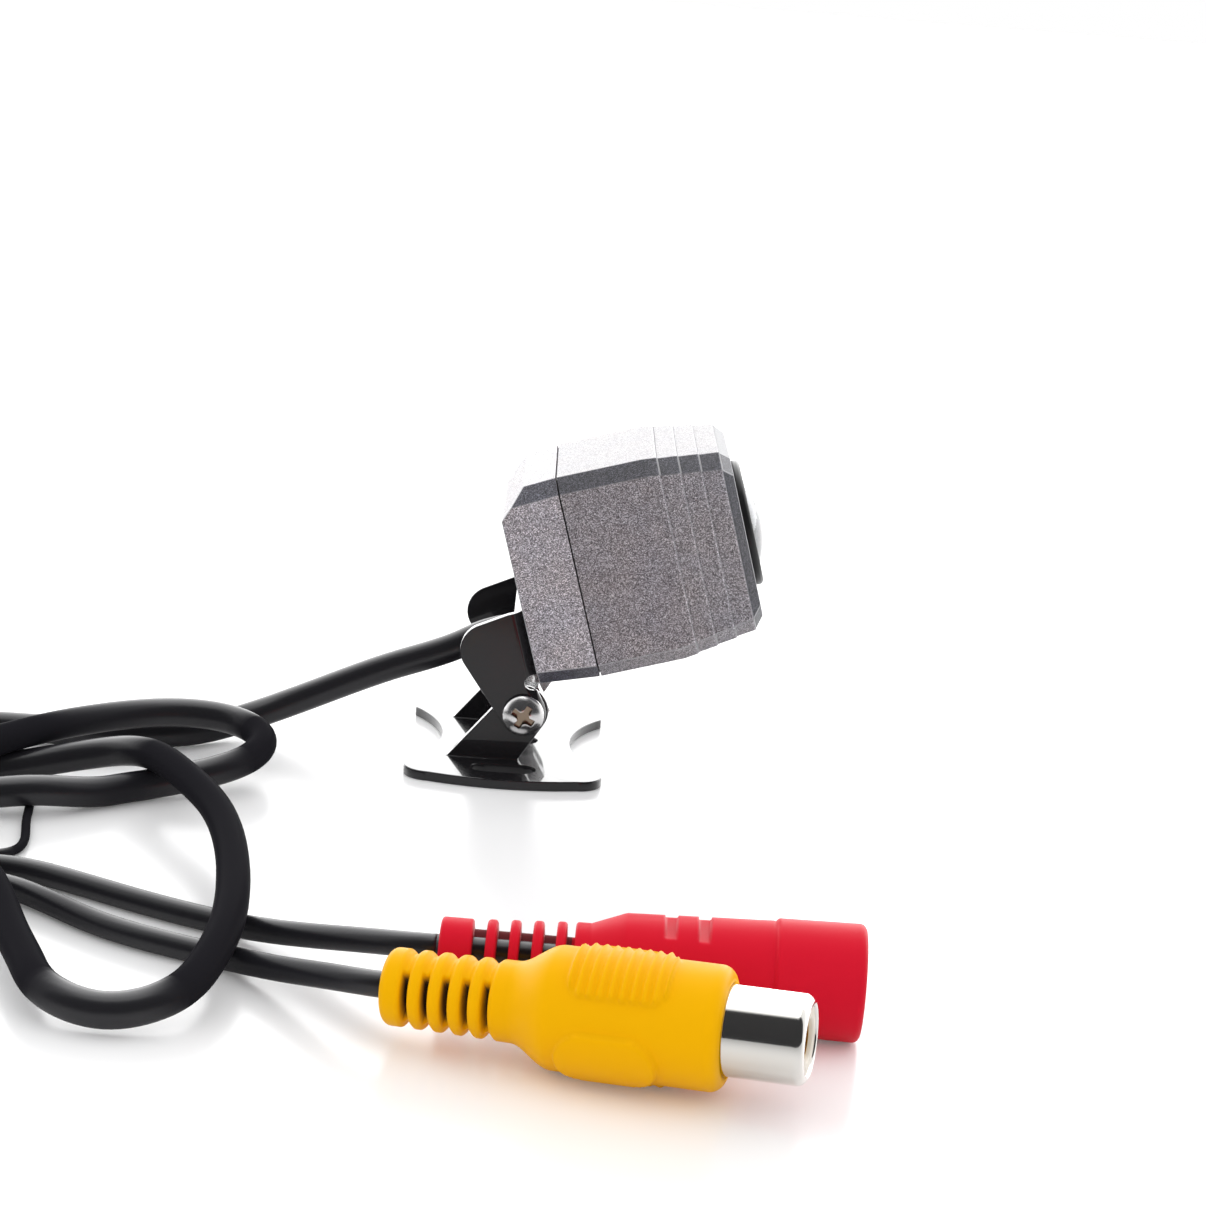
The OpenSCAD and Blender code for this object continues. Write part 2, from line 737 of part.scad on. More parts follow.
// side view of the ears and the web's edge
module bracket_side() {
    difference() {
        union() {
            hull() {
                circle(r = lobe_r, $fn = 32);
                translate([-2.5, web_top - 3.8]) circle(r = 3.3, $fn = 32);
                translate([0.3, web_low + 1]) circle(r = 0.8, $fn = 32);
            }
            hull() {
                translate([-2.5, web_top - 3.8]) circle(r = 3.3, $fn = 32);
                translate([0.9, web_low]) square([web_x1 - 0.9, web_top - web_low]);
            }
        }
        translate([web_x1 - 0.8, web_low - 0.7]) circle(r = 1);
    }
}

module camera_bracket() {
    top = web_top + 2;
    color("#2b292c") in_head() difference() {
        intersection() {
            translate([0, 0, -lobe_r - 1]) linear_extrude(top + lobe_r + 1) bracket_plan();
            rotate([90, 0, 0]) translate([0, 0, -bracket_w]) linear_extrude(2 * bracket_w)
                bracket_side();
        }
        translate([-1, -ear_in, -lobe_r - 2]) cube([web_x1 + 2, 2 * ear_in, web_low + lobe_r + 2]);
        rotate([90, 0, 0]) translate([0, 0, -bracket_w])
            cylinder(h = 2 * bracket_w, d = pivot_d + 2 * run_clear);
        translate([0, 0, body_up]) {
            for (s = [-1, 1]) rod(-1, web_x1 + 1, cover_d + 2 * fit_clear, s * low_y, low_z);
            rod(-1, web_x1 + 1, gland_d + 0.4, 0, cable_z);
        }
    }
}

// ---------- base bracket and pivot ----------

module plate_outline() {
    corner_y = plate_w / 2 - edge_rise - corner_r;
    corner_x = plate_l / 2 - corner_r;
    arc_r = (corner_x * corner_x + edge_rise * edge_rise) / (2 * edge_rise);
    difference() {
        union() {
            hull() for (x = [-1, 1], y = [-1, 1]) translate([x * corner_x, y * corner_y])
                circle(r = corner_r, $fn = 48);
            for (s = [-1, 1]) intersection() {
                translate([0, s * (plate_w / 2 - arc_r)]) circle(r = arc_r, $fn = 128);
                translate([-corner_x, s > 0 ? 0 : -plate_w / 2]) square([2 * corner_x, plate_w / 2]);
            }
        }
        for (s = [-1, 1]) translate([s * (plate_l / 2 - notch_depth + notch_r), 0])
            circle(r = notch_r, $fn = 128);
    }
}

// mounting slot along X through the base plate
module slot(y) {
    reach = (slot_l - slot_w) / 2;
    for (s = [-1, 1]) translate([s * reach, y, -1]) cylinder(h = sheet_t + 2, d = slot_w);
    translate([-reach, y - slot_w / 2, -1]) cube([2 * reach, slot_w, sheet_t + 2]);
}

module base_bracket() {
    color("#1e1d1f") difference() {
        union() {
            linear_extrude(sheet_t) plate_outline();
            for (s = [-1, 1]) translate([0, s > 0 ? base_ear_out : -base_ear_in, 0])
                rotate([90, 0, 0]) linear_extrude(sheet_t) hull() {
                    translate([pivot_x, pivot_z]) circle(r = base_lobe_r, $fn = 48);
                    translate([ear_rear_x, 0]) square([ear_front_x - ear_rear_x, sheet_t]);
                }
        }
        for (k = [-1:1]) slot(k * slot_pitch);
        translate([pivot_x, bracket_w, pivot_z]) rotate([90, 0, 0])
            cylinder(h = 2 * bracket_w, d = pivot_d);
    }
}

// places its children at both pivots, with +X pointing inwards along the pivot axis
module at_pivots() {
    for (a = [90, -90]) translate([pivot_x, 0, pivot_z]) rotate([0, 0, a])
        translate([-bracket_w / 2 - side_play, 0, 0]) children();
}

module pivot_screws() {
    shank = bracket_w / 2 + side_play - base_ear_in + nut_t + 0.3;
    color("#d4d4d6") at_pivots() rotate([30, 0, 0])
        screw(pivot_d, pivot_head_d, pivot_head_h, shank);
}

module pivot_nuts() {
    start = bracket_w / 2 + side_play - base_ear_in;
    color("#c9c9cc") at_pivots() difference() {
        translate([start, 0, 0]) rotate([0, 90, 0]) rotate([0, 0, 30])
            cylinder(h = nut_t, d = nut_af / cos(30), $fn = 6);
        rod(start - 1, start + nut_t + 1, pivot_d);
    }
}

module pivot_washers() {
    start = bracket_w / 2 + side_play - base_ear_out - washer_t;
    color("#c9c9cc") at_pivots() difference() {
        rod(start, start + washer_t, washer_d);
        rod(start - 1, start + washer_t + 1, pivot_d + 2 * fit_clear);
    }
}

// ---------- video connector ----------

rca_front = boot_l + rca_body_l;
rca_root_x = rca_front - 9;
rca_root_d = rca_shell_d - 0.4;
rca_grip_x = boot_l + 4.6;
rca_grip_l = 9;
rib_pads = [20, 200];
smooth_pads = [-65, 115];

module rca_housing() {
    body_r = rca_body_d / 2;
    color("#f6c400") at_rca() {
        difference() {
            union() {
                for (i = [0:rib_n - 1]) turned([
                    [i * rib_pitch, 0], [i * rib_pitch, boot_r - 0.6], [i * rib_pitch + 0.35, boot_r],
                    [i * rib_pitch + 1.25, boot_r], [i * rib_pitch + 1.6, boot_r - 0.6],
                    [i * rib_pitch + 1.6, 0],
                ]);
                turned([
                    [0, 0], [0, boot_r - 0.9], [boot_l - 2.2, boot_r - 0.5], [boot_l - 1.8, boot_r],
                    [boot_l, body_r - 1], [boot_l + 1.2, body_r - 0.15], [boot_l + 2, body_r],
                    [rca_front - 1, body_r], [rca_front - 0.3, body_r - 0.3],
                    [rca_front, body_r - 1], [rca_front, 0],
                ]);
                for (a = rib_pads) rotate([a, 0, 0]) translate([rca_grip_x, 0, 0])
                    grip_pad(rca_grip_l, 4.4, body_r, rca_grip_r);
                for (a = smooth_pads) rotate([a, 0, 0]) translate([rca_grip_x, 0, 0])
                    grip_pad(rca_grip_l, 5.6, body_r, rca_grip_r);
            }
            for (a = rib_pads, i = [0:8]) rotate([a, 0, 0])
                translate([rca_grip_x + 1.2 + 0.8 * i, -2, body_r + rca_grip_r - 0.2])
                    cube([0.35, 4, 1]);
            rod(rca_root_x, rca_front + 1, rca_root_d);
        }
    }
}

module rca_shell() {
    front = rca_front + rca_shell_l;
    outer = rca_shell_d / 2;
    color("#d9d9dc") at_rca() difference() {
        turned([
            [rca_root_x, 0], [rca_root_x, rca_root_d / 2], [rca_front, rca_root_d / 2],
            [rca_front, outer], [front - 0.9, outer], [front - 0.25, outer - 0.25],
            [front, outer - 0.9], [front, 0],
        ]);
        rod(rca_root_x + 1, front + 1, insulator_d);
    }
}

module rca_insulator() {
    front = rca_front + rca_shell_l;
    color("#ece4d4") at_rca() difference() {
        rod(rca_root_x + 1, front - 0.25, insulator_d);
        rod(rca_root_x + 2, front + 1, contact_d);
    }
}

module rca_contact() {
    front = rca_front + rca_shell_l;
    color("#c9a13b") at_rca() difference() {
        rod(rca_root_x + 2, front - 0.6, contact_d);
        rod(rca_root_x + 4, front + 1, rca_hole_d);
    }
}

// ---------- power connector ----------

dc_front_x = dc_boot_l + dc_body_l;
dc_end_x = dc_front_x + dc_front_l;

module dc_housing() {
    front_r = dc_front_d / 2;
    color("#d0182c") at_dc() difference() {
        union() {
            turned([[0, 0], [0, 2.6], [0.3, 2.9], [2.8, 2.9], [3.1, 2.6], [3.1, 0]]);
            for (i = [0:3]) turned([
                [4.4 + 2.2 * i, 0], [4.4 + 2.2 * i, 3 + 0.12 * i],
                [5.4 + 2.2 * i, 3.05 + 0.12 * i], [5.4 + 2.2 * i, 0],
            ]);
            turned([
                [0, 0], [0, 1.9], [12.8, 1.9], [12.8, 3.45], [14.4, 3.55], [dc_boot_l, 4.6],
                [dc_boot_l + 0.8, 4.85], [dc_front_x, front_r - 0.4], [dc_front_x, front_r - 0.15],
                [dc_end_x - 1.2, front_r], [dc_end_x - 0.35, front_r - 0.35],
                [dc_end_x, front_r - 1.2], [dc_end_x, 0],
            ]);
        }
        for (x = [3.9, 7]) translate([dc_boot_l + x, -6, 3.7]) cube([1.1, 12, 4]);
        rod(dc_end_x - dc_bore_l - dc_base_t, dc_end_x + 1, dc_sleeve_d);
    }
}

module dc_sleeve() {
    color("#d9d9dc") at_dc() difference() {
        rod(dc_end_x - dc_bore_l, dc_end_x - 0.4, dc_sleeve_d);
        rod(dc_end_x - dc_bore_l - 1, dc_end_x + 1, dc_bore_d);
    }
}

module dc_base() {
    color("#1a1a1a") at_dc() difference() {
        rod(dc_end_x - dc_bore_l - dc_base_t, dc_end_x - dc_bore_l, dc_sleeve_d);
        rod(dc_end_x - dc_bore_l - dc_base_t - 1, dc_end_x, dc_pin_d);
    }
}

module dc_pin() {
    start = dc_end_x - dc_bore_l - dc_base_t;
    tip = dc_end_x - dc_bore_l + dc_pin_l;
    color("#d9d9dc") at_dc() turned([
        [start, 0], [start, dc_pin_d / 2], [tip - 0.5, dc_pin_d / 2], [tip, dc_pin_d / 4], [tip, 0],
    ]);
}

front_housing();
rear_cover();
housing_gasket();
cover_screws();
bracket_screws();
lens_bezel();
front_glass();
glass_seal();
lens_barrel();
lens_elements();
lens_holder();
ir_filter();
image_sensor();
sensor_board();
power_board();
board_spacers();
board_screws();
board_header();
board_chips();
board_socket();
cable_gland();
cable_tail();
camera_bracket();
base_bracket();
pivot_screws();
pivot_nuts();
pivot_washers();
main_cable();
y_splice();
power_lead();
video_lead();
trigger_wire();
rca_housing();
rca_shell();
rca_insulator();
rca_contact();
dc_housing();
dc_sleeve();
dc_base();
dc_pin();
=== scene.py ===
"""Looks for the backup camera: materials, cords, moulded connectors, floor, light and camera."""
import json
import math

import bmesh
import bpy
import numpy as np
from mathutils import Matrix, Vector


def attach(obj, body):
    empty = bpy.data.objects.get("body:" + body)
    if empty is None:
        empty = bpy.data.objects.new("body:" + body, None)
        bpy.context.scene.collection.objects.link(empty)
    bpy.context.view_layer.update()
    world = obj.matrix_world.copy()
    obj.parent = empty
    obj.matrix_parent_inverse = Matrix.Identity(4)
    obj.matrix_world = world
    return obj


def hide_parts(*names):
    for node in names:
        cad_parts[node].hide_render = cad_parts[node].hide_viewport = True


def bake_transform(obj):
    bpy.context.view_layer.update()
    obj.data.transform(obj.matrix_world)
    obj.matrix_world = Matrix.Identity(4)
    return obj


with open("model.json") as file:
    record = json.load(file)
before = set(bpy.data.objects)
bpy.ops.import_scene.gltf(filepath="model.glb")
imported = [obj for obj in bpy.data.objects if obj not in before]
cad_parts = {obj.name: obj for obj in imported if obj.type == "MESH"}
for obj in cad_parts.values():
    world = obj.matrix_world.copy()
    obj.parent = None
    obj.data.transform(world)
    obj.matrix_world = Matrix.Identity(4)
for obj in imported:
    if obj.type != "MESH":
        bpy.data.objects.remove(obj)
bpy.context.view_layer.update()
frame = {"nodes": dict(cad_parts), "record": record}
nodes = frame["nodes"]
scene = bpy.context.scene
MM = 0.001


# ---------- camera ----------

CAMERA_AT = (0.003453, -0.336251, 0.102970)  # metres
CAMERA_TURN = (1.25, 13.93, 4.5)  # azimuth, elevation and roll in degrees
LENS = 83.58  # mm


def set_camera():
    """The photograph's viewing angle: azimuth 0 looks along +Y, and the roll turns the picture clockwise."""
    azimuth, elevation, roll = (math.radians(a) for a in CAMERA_TURN)
    ahead = Vector((math.sin(azimuth) * math.cos(elevation),
                    math.cos(azimuth) * math.cos(elevation), -math.sin(elevation)))
    level = ahead.cross(Vector((0, 0, 1))).normalized()
    upright = level.cross(ahead)
    right = math.cos(roll) * level + math.sin(roll) * upright
    up = math.cos(roll) * upright - math.sin(roll) * level
    data = bpy.data.cameras.new("view")
    data.sensor_width = 36
    data.lens = LENS
    data.clip_start, data.clip_end = 0.01, 20
    camera = bpy.data.objects.new("view", data)
    turn = Matrix((right, up, -ahead)).transposed().to_4x4()
    camera.matrix_world = Matrix.Translation(CAMERA_AT) @ turn
    scene.collection.objects.link(camera)
    scene.camera = camera


set_camera()
scene.view_settings.view_transform = "Standard"


# ---------- shared shapes ----------

SIDES = 144  # points around a moulded body


def new_object(name, vertices, faces, smooth=True):
    """Mesh object in the scene, made from points in metres."""
    mesh = bpy.data.meshes.new(name)
    mesh.from_pydata([tuple(v) for v in vertices], [], faces)
    mesh.update()
    if smooth:
        mesh.polygons.foreach_set("use_smooth", [True] * len(mesh.polygons))
    piece = bpy.data.objects.new(name, mesh)
    scene.collection.objects.link(piece)
    return piece


def spline(points, first, last, step=0.7):
    """Smooth cubic curve in metres through points in mm, with the given headings at its ends."""
    p = np.array(points, float)
    gaps = np.linalg.norm(np.diff(p, axis=0), axis=1)
    system, slopes = np.eye(len(p)), np.zeros((len(p), 3))
    slopes[0], slopes[-1] = first, last
    for i in range(1, len(p) - 1):
        before, after = gaps[i - 1], gaps[i]
        system[i, i - 1:i + 2] = after, 2 * (before + after), before
        slopes[i] = 3 * (after / before * (p[i] - p[i - 1]) + before / after * (p[i + 1] - p[i]))
    m = np.linalg.solve(system, slopes)
    made = []
    for i, gap in enumerate(gaps):
        for s in np.linspace(0, 1, max(2, round(gap / step)), endpoint=False):
            made.append((1 + 2 * s) * (1 - s) ** 2 * p[i] + s * (1 - s) ** 2 * gap * m[i]
                        + s * s * (3 - 2 * s) * p[i + 1] + s * s * (s - 1) * gap * m[i + 1])
    made.append(p[-1])
    return np.array(made) * MM


def band(first, sides):
    """Faces that join a ring of points, numbered from first, to the next ring."""
    return [(first + k, first + (k + 1) % sides, first + sides + (k + 1) % sides, first + sides + k)
            for k in range(sides)]


def mark(mesh, name, values):
    """Numbers from 0 to 1 at the points of a mesh, for its material to read."""
    mesh.attributes.new(name, "FLOAT", "POINT").data.foreach_set("value", values.astype(np.float32))


def tube(name, path, diameter, sides=28):
    """Round tube along a path in metres, with its rings turned as little as possible.
    Its attribute away says how far each ring's heading lies along Y."""
    ways = np.gradient(path, axis=0)
    ways /= np.linalg.norm(ways, axis=1)[:, None]
    side = np.cross(ways[0], (0, 0, 1))
    rings, around = [], np.linspace(0, 2 * math.pi, sides, endpoint=False)
    for centre, way in zip(path, ways):
        side = side - way * side.dot(way)
        side /= np.linalg.norm(side)
        up = np.cross(side, way)
        rings.append(centre + diameter / 2 * (np.outer(np.cos(around), side) + np.outer(np.sin(around), up)))
    last = (len(path) - 1) * sides
    faces = [(a, d, c, b) for i in range(len(path) - 1) for a, b, c, d in band(i * sides, sides)]
    faces += [tuple(range(sides)), tuple(range(last, last + sides))[::-1]]
    piece = new_object(name, np.concatenate(rings), faces)
    mark(piece.data, "away", np.repeat(smooth(0.35, 0.8, abs(ways[:, 1])), sides))
    return piece


def smooth(low, high, x):
    """Smooth step from 0 at low to 1 at high."""
    t = np.clip((x - low) / (high - low), 0, 1)
    return t * t * (3 - 2 * t)


def moulded(name, place, rows, deep=None):
    """Round body along X of a frame. Each row is (x, radius in mm for each turn), and turn 0 is up, 90 is -Y.
    The function deep(x, radius) says, from 0 to 1, how much painted shade each point gets deep in a slot."""
    turns = np.arange(SIDES) * 2 * math.pi / SIDES
    points = []
    for x, radius in rows:
        r = np.broadcast_to(radius, SIDES)
        points += [place @ (Vector((x, -a * math.sin(t), a * math.cos(t))) * MM) for a, t in zip(r, turns)]
    faces = [face for i in range(len(rows) - 1) for face in band(i * SIDES, SIDES)]
    piece = new_object(name, points, faces)
    if deep:
        mark(piece.data, "deep", np.concatenate([np.broadcast_to(deep(x, r), SIDES) for x, r in rows]))
    return piece


def softened(node, width, near=None, limit=28, tone=1.0, deep=None, slant=None, glint_and_wear=None):
    """Copy of a CAD node with its sharp edges rounded by width mm, standing in for the node.
    The functions deep(point) and slant(heading) mark, from 0 to 1, painted shade with tarnish in a recess and
    painted shade on slanted faces; the last function, given a heading, says how much painted highlight with
    some wear each rounded edge gets. A tone above 1 lightens the paint as painted light."""
    bm = bmesh.new()
    bm.from_mesh(nodes[node].data)
    edges, tones, deeps, slants = [bm.faces.layers.float.new(n) for n in ("edge", "tone", "deep", "slant")]
    bmesh.ops.remove_doubles(bm, verts=bm.verts, dist=0.002 * MM)
    bmesh.ops.dissolve_limit(bm, angle_limit=math.radians(0.8), verts=bm.verts, edges=bm.edges)
    sharp = []
    for e in bm.edges:
        if len(e.link_faces) == 2 and e.calc_face_angle(0) > math.radians(limit):
            if near is None or near((e.verts[0].co + e.verts[1].co) / 2 / MM):
                sharp.append(e)
    made = bmesh.ops.bevel(bm, geom=sharp, offset=width * MM, offset_type="OFFSET", segments=2, profile=0.5,
                           affect="EDGES", clamp_overlap=False)
    for f in bm.faces:
        f.smooth = True
        # A tone above 1 lightens the paint as painted light.
        f[tones] = tone
        f[slants] = float(slant is not None and slant(f.normal))
        f[deeps] = float(deep is not None and deep(f.calc_center_median() / MM))
    # Rounded edges get a painted highlight with some wear, set by heading.
    for f in made["faces"]:
        f[edges] = glint_and_wear(f.normal) if glint_and_wear else 1.0
    for e in bm.edges:
        e.smooth = not (len(e.link_faces) == 2 and e.calc_face_angle(0) > math.radians(38))
    mesh = bpy.data.meshes.new(node + "_soft")
    bm.to_mesh(mesh)
    bm.free()
    piece = bpy.data.objects.new(node + "_soft", mesh)
    scene.collection.objects.link(piece)
    flat = piece.modifiers.new("flat", "WEIGHTED_NORMAL")
    flat.keep_sharp = True
    return stand_in(piece, node)


def stand_in(piece, node):
    """The piece takes a CAD node's place, body and finish."""
    entry = [s for s in frame["record"]["subparts"] if s["node"] == node][0]
    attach(piece, body_of[node])
    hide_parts(node)
    piece.data.materials.append(material[entry["material_slot"]])
    return piece


body_of = {n: body for body, names in frame["record"]["behaviour"]["bodies"].items() for n in names}


# ---------- places that the CAD source also holds, in mm ----------

PIVOT = (2, 0, 7.5)
HEAD_PITCH = 16.6
BODY_AT = (2.8, 0, 15.3)
HALF, TAPER_IN, FRONT_BEVEL, FRONT_X, SEAM_X = 12.5, 1.45, 1.15, 28.05, 7.4
RIDGE_X, RIDGE_PITCH = 19.56, 2.447
CABLE_Z = -6.9
GLAND_OUT = 1.6
CABLE_D, LEAD_D, WIRE_D = 3.5, 2.5, 1.0
RCA_AT, RCA_YAW, RCA_TILT = (-8.2, -94.2, 5.2), 15, 2.5
RCA_FRONT, RCA_SHELL_L, RCA_SHELL_R = 32.2, 7.4, 4.15
DC_AT, DC_YAW = (-4, -85, 5.75), 2.5
DC_BODY_X, DC_COLLAR_X, DC_END_X = 17.4, 31.8, 40.4
SPLICE_AT, SPLICE_YAW, SPLICE_L = (-78, -61, 3), 3, 15
LEAD_OUT, LEAD_DOWN, CORE_L = 1.5, 0.8, 13
WIRE_OUT, WIRE_UP, WIRE_WAY = 1, 1.4, (-0.164, 0.986, 0)

MAIN_ROUTE = [
    (-6.5, -0.5, 13.1), (-14, -0.5, 10), (-22, -0.8, 6.5), (-28.2, -1.6, 3.8), (-33.3, -4.3, 2.3),
    (-38, -8.2, 1.8), (-44, -10.9, 1.8), (-51, -11.8, 1.8), (-58, -11.8, 1.8), (-65, -12.4, 1.8),
    (-71.5, -15.3, 1.8), (-74.2, -21.6, 1.8), (-71.6, -28, 1.8), (-65.3, -30.8, 1.8),
    (-58.9, -28.9, 1.8), (-53.2, -26.2, 2.3), (-47.8, -25.6, 3.4), (-42.9, -27.2, 4.7),
    (-39.2, -31, 5.5), (-35.4, -37, 5.6), (-31, -45.6, 5.4), (-27.6, -57, 5.1), (-25.6, -69.8, 4.8),
    (-25, -80.5, 4.5), (-25.7, -88.4, 3.9), (-28.1, -94.7, 2.9), (-33.8, -97.3, 2.1), (-39.4, -95, 2.7),
    (-42.5, -89.2, 3), (-45.5, -81.8, 3.2), (-48.8, -73.4, 3.9), (-53.2, -65.2, 4.8), (-58, -57.5, 5.4),
    (-62, -50, 5.5), (-63.5, -42.5, 5.5), (-61.5, -35.5, 5.5), (-57.2, -28.6, 5.5), (-51.8, -21.6, 5.5),
    (-45.6, -16.1, 5.5), (-39.4, -12.9, 5.4), (-33.2, -12.8, 5), (-28.9, -17.1, 4.4),
    (-29.6, -23.4, 3.6), (-34.2, -27.3, 2.6), (-40.1, -30.2, 1.8), (-45.6, -34.6, 1.9),
    (-52, -38.3, 2.8), (-59.5, -40, 2.2), (-68, -40, 1.8), (-76, -41.2, 1.8), (-82.6, -45.4, 1.8),
    (-85.8, -52, 1.9), (-83.6, -58.4, 2.6),
]
POWER_ROUTE = [
    (-56, -58.8, 1.3), (-50, -59.4, 1.3), (-43.5, -62, 1.3), (-36.5, -66, 1.3), (-29.5, -69.6, 1.3),
    (-23.3, -72.7, 1.6), (-17, -77, 2.9), (-10.5, -82.2, 4.8),
]
VIDEO_ROUTE = [
    (-57, -63.5, 1.3), (-51, -64.5, 1.3), (-45, -68, 1.3), (-38.5, -73.5, 1.3), (-31.5, -77.5, 1.3),
    (-25, -80.5, 1.4), (-19, -85.5, 2.6), (-14, -90.5, 4.2),
]
WIRE_ROUTE = [
    (-61.3, -58, 3.5), (-59.3, -55.8, 2.2), (-56.5, -54.4, 1.1), (-53.5, -53.8, 0.6),
    (-51.2, -52.3, 0.55), (-50.6, -49.5, 0.55), (-51, -46, 0.55), (-51.7, -42, 0.55),
    (-52.2, -38, 0.55), (-52.8, -34, 0.55),
]


# ---------- materials ----------

material = {}


def finish_of(slot, color, roughness=0.5, metallic=0.0, **inputs):
    """A plain material for a record slot; further arguments name the shader's inputs, with _ for a space."""
    m = bpy.data.materials.new(slot)
    m.use_nodes = True
    b = m.node_tree.nodes["Principled BSDF"]
    b.inputs["Base Color"].default_value = (*color, 1)
    b.inputs["Roughness"].default_value = roughness
    b.inputs["Metallic"].default_value = metallic
    for name, value in inputs.items():
        b.inputs[name.replace("_", " ")].default_value = value
    material[slot] = m
    return m.node_tree, b


def node_of(tree, kind, **values):
    """New shader node, with values for its inputs or its settings by name."""
    n = tree.nodes.new(kind)
    for name, value in values.items():
        if name in n.inputs:
            n.inputs[name].default_value = value
        else:
            setattr(n, name, value)
    return n


def grain(tree, b, scale, strength, distance, detail=2.0):
    """Fine surface relief from noise in the part's own metres."""
    place = node_of(tree, "ShaderNodeTexCoord")
    noise = node_of(tree, "ShaderNodeTexNoise", Scale=scale, Detail=detail)
    bump = node_of(tree, "ShaderNodeBump", Strength=strength, Distance=distance)
    tree.links.new(place.outputs["Object"], noise.inputs["Vector"])
    tree.links.new(noise.outputs["Fac"], bump.inputs["Height"])
    tree.links.new(bump.outputs["Normal"], b.inputs["Normal"])
    return place


def ramp(tree, source, stops):
    """Colour ramp on a socket; each stop is (position, colour)."""
    r = tree.nodes.new("ShaderNodeValToRGB")
    while len(r.color_ramp.elements) < len(stops):
        r.color_ramp.elements.new(0.5)
    for element, (at, color) in zip(r.color_ramp.elements, stops):
        element.position = at
        element.color = (*color, 1) if len(color) == 3 else color
    tree.links.new(source, r.inputs["Fac"])
    return r.outputs["Color"]


def mixed(tree, kind, factor, a, b):
    """Colour mix whose arguments are sockets or constants."""
    m = node_of(tree, "ShaderNodeMix", data_type="RGBA", blend_type=kind)
    for socket, value in ((m.inputs[0], factor), (m.inputs[6], a), (m.inputs[7], b)):
        if hasattr(value, "is_output"):
            tree.links.new(value, socket)
        else:
            socket.default_value = value
    return m.outputs[2]


def math_node(tree, operation, *values):
    """Result of a maths node whose inputs are sockets or numbers."""
    m = node_of(tree, "ShaderNodeMath", operation=operation)
    for socket, value in zip(m.inputs, values):
        if hasattr(value, "is_output"):
            tree.links.new(value, socket)
        else:
            socket.default_value = value
    return m.outputs[0]


def flaked(tree, place):
    """Colour of flakes of many tones, under a faint warm and cool cloud."""
    flakes = node_of(tree, "ShaderNodeTexVoronoi", Scale=11500.0, feature="F1")
    tree.links.new(place.outputs["Object"], flakes.inputs["Vector"])
    split = node_of(tree, "ShaderNodeSeparateColor")
    tree.links.new(flakes.outputs["Color"], split.inputs["Color"])
    tone = ramp(tree, split.outputs[0], [
        (0.0, (0.04, 0.037, 0.04)), (0.3, (0.115, 0.107, 0.114)), (0.7, (0.26, 0.244, 0.258)),
        (1.0, (0.62, 0.60, 0.63))])
    cloud = node_of(tree, "ShaderNodeTexNoise", Scale=170.0, Detail=3.0)
    tree.links.new(place.outputs["Object"], cloud.inputs["Vector"])
    warm = ramp(tree, cloud.outputs["Fac"], [(0.3, (0.97, 0.98, 1.03)), (0.7, (1.04, 1.0, 0.99))])
    return mixed(tree, "MULTIPLY", 1.0, tone, warm)


def ridged(tree, place, tone):
    """The tone with a painted highlight line and a faint painted shadow at each step of the nose, found along
    the body's axis.
    """
    along = node_of(tree, "ShaderNodeVectorMath", operation="DOT_PRODUCT")
    tree.links.new(place.outputs["Object"], along.inputs[0])
    pitch = math.radians(HEAD_PITCH)
    along.inputs[1].default_value = (math.cos(pitch) / MM, 0, math.sin(pitch) / MM)
    first = math.cos(pitch) * PIVOT[0] + math.sin(pitch) * PIVOT[2] + BODY_AT[0] + RIDGE_X
    offset = math_node(tree, "SUBTRACT", along.outputs["Value"], first - RIDGE_PITCH / 2)
    phase = math_node(tree, "DIVIDE", math_node(tree, "FLOORED_MODULO", offset, RIDGE_PITCH), RIDGE_PITCH)
    line = ramp(tree, phase, [
        (0.38, (1.0, 1.0, 1.0)), (0.46, (1.75, 1.75, 1.78)), (0.505, (1.7, 1.7, 1.74)),
        (0.535, (0.8, 0.8, 0.81)), (0.62, (1.0, 1.0, 1.0))])
    return mixed(tree, "MULTIPLY", math_node(tree, "GREATER_THAN", offset, 0.6), tone, line)


def paint():
    """Metallic grey sprayed paint, with painted shade, darker and bluish, on the chamfers and painted
    highlights with some wear along the edges.
    """
    tree, b = finish_of("housing_paint", (0.19, 0.185, 0.19), 0.39, 0.0, Specular_IOR_Level=0.6)
    place = grain(tree, b, 5200, 0.15, 0.00005)
    # tone: 1.5 on the rear cover, a painted reflection that lightens the same paint
    level = node_of(tree, "ShaderNodeAttribute", attribute_name="tone")
    tone = mixed(tree, "MULTIPLY", 1.0, flaked(tree, place), level.outputs["Color"])
    slope = node_of(tree, "ShaderNodeAttribute", attribute_name="slant")
    # Painted shade: slanted faces darker and bluish
    tone = mixed(tree, "MULTIPLY", slope.outputs["Fac"], tone, (0.25, 0.265, 0.3, 1))
    edge = node_of(tree, "ShaderNodeAttribute", attribute_name="edge")
    # Rounded edges get a painted highlight with some wear; the nose steps get a painted highlight line and
    # shadow.
    tone = mixed(tree, "MIX", edge.outputs["Fac"], ridged(tree, place, tone), (0.33, 0.33, 0.345, 1))
    tree.links.new(tone, b.inputs["Base Color"])


def lacquer():
    """Thick black gloss lacquer on sheet steel."""
    tree, b = finish_of("bracket_black", (0.012, 0.0115, 0.013), 0.25, 0.0, Specular_IOR_Level=0.2,
                        Coat_Weight=1.0, Coat_Roughness=0.03, Coat_IOR=1.38)
    grain(tree, b, 350, 0.05, 0.0004, 1.0)


